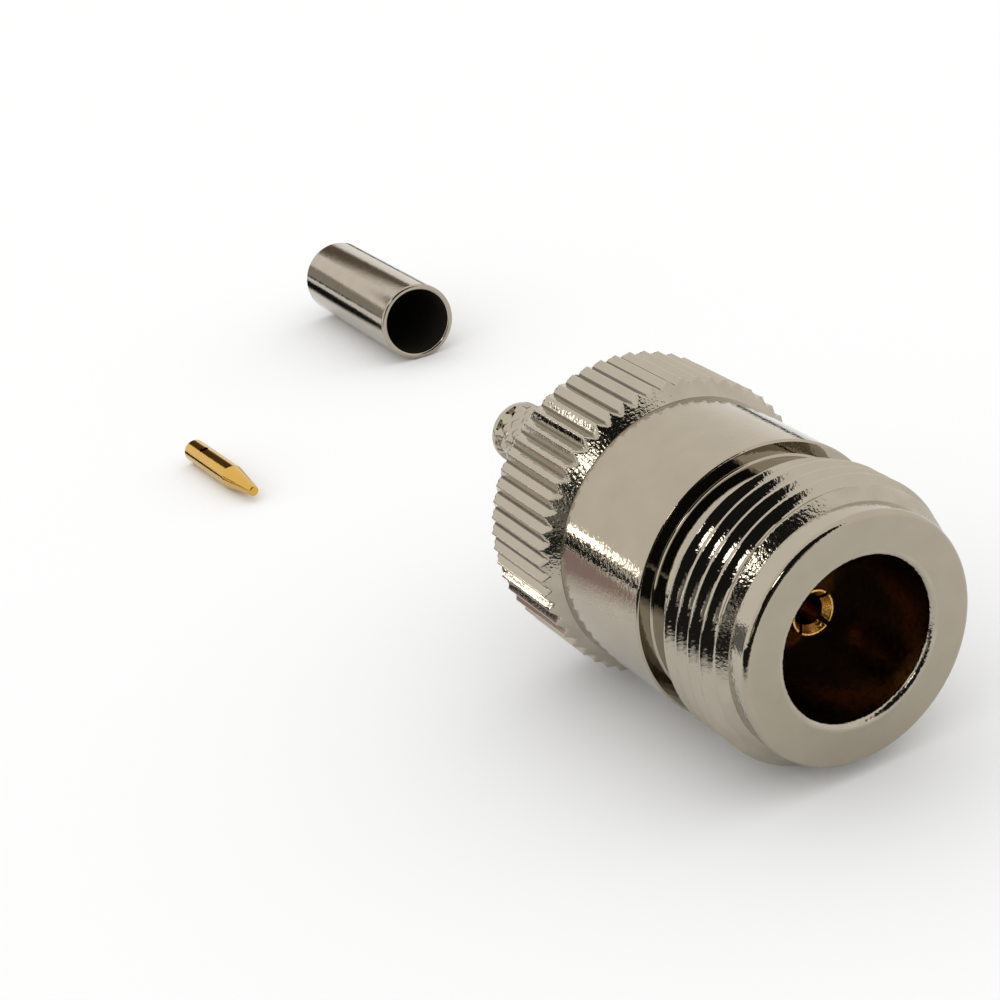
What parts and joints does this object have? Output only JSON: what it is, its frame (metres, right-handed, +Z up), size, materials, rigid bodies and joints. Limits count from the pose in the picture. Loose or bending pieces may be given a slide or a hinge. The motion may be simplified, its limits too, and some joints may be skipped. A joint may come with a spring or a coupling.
{
  "type": "n type connector",
  "caption": "Threaded female coaxial cable jack with a knurled ring and a hollow crimp stem, lying in front of its loose centre pin and crimp ferrule.",
  "frame": {"origin": "on the ground, below the middle of the set's bounding box", "axes": "+Z up; +X along the jack's axis as seen from above, towards its mating end"},
  "size_m": [0.1, 0.0286, 0.0178],
  "materials": {
    "nickel_plate": "semi-gloss nickel plate on brass",
    "gold_plate": "glossy gold plate",
    "insulator_plastic": "satin dark brown plastic",
    "ferrule_plate": "glossy nickel plate on brass"
  },
  "bodies": {
    "root": {"front_shell": "nickel_plate", "rear_body": "nickel_plate", "crimp_stem": "nickel_plate", "front_insulator": "insulator_plastic", "rear_insulator": "insulator_plastic", "socket_contact": "gold_plate", "centre_pin": "gold_plate", "crimp_ferrule": "ferrule_plate"}
  },
  "joints": []
}
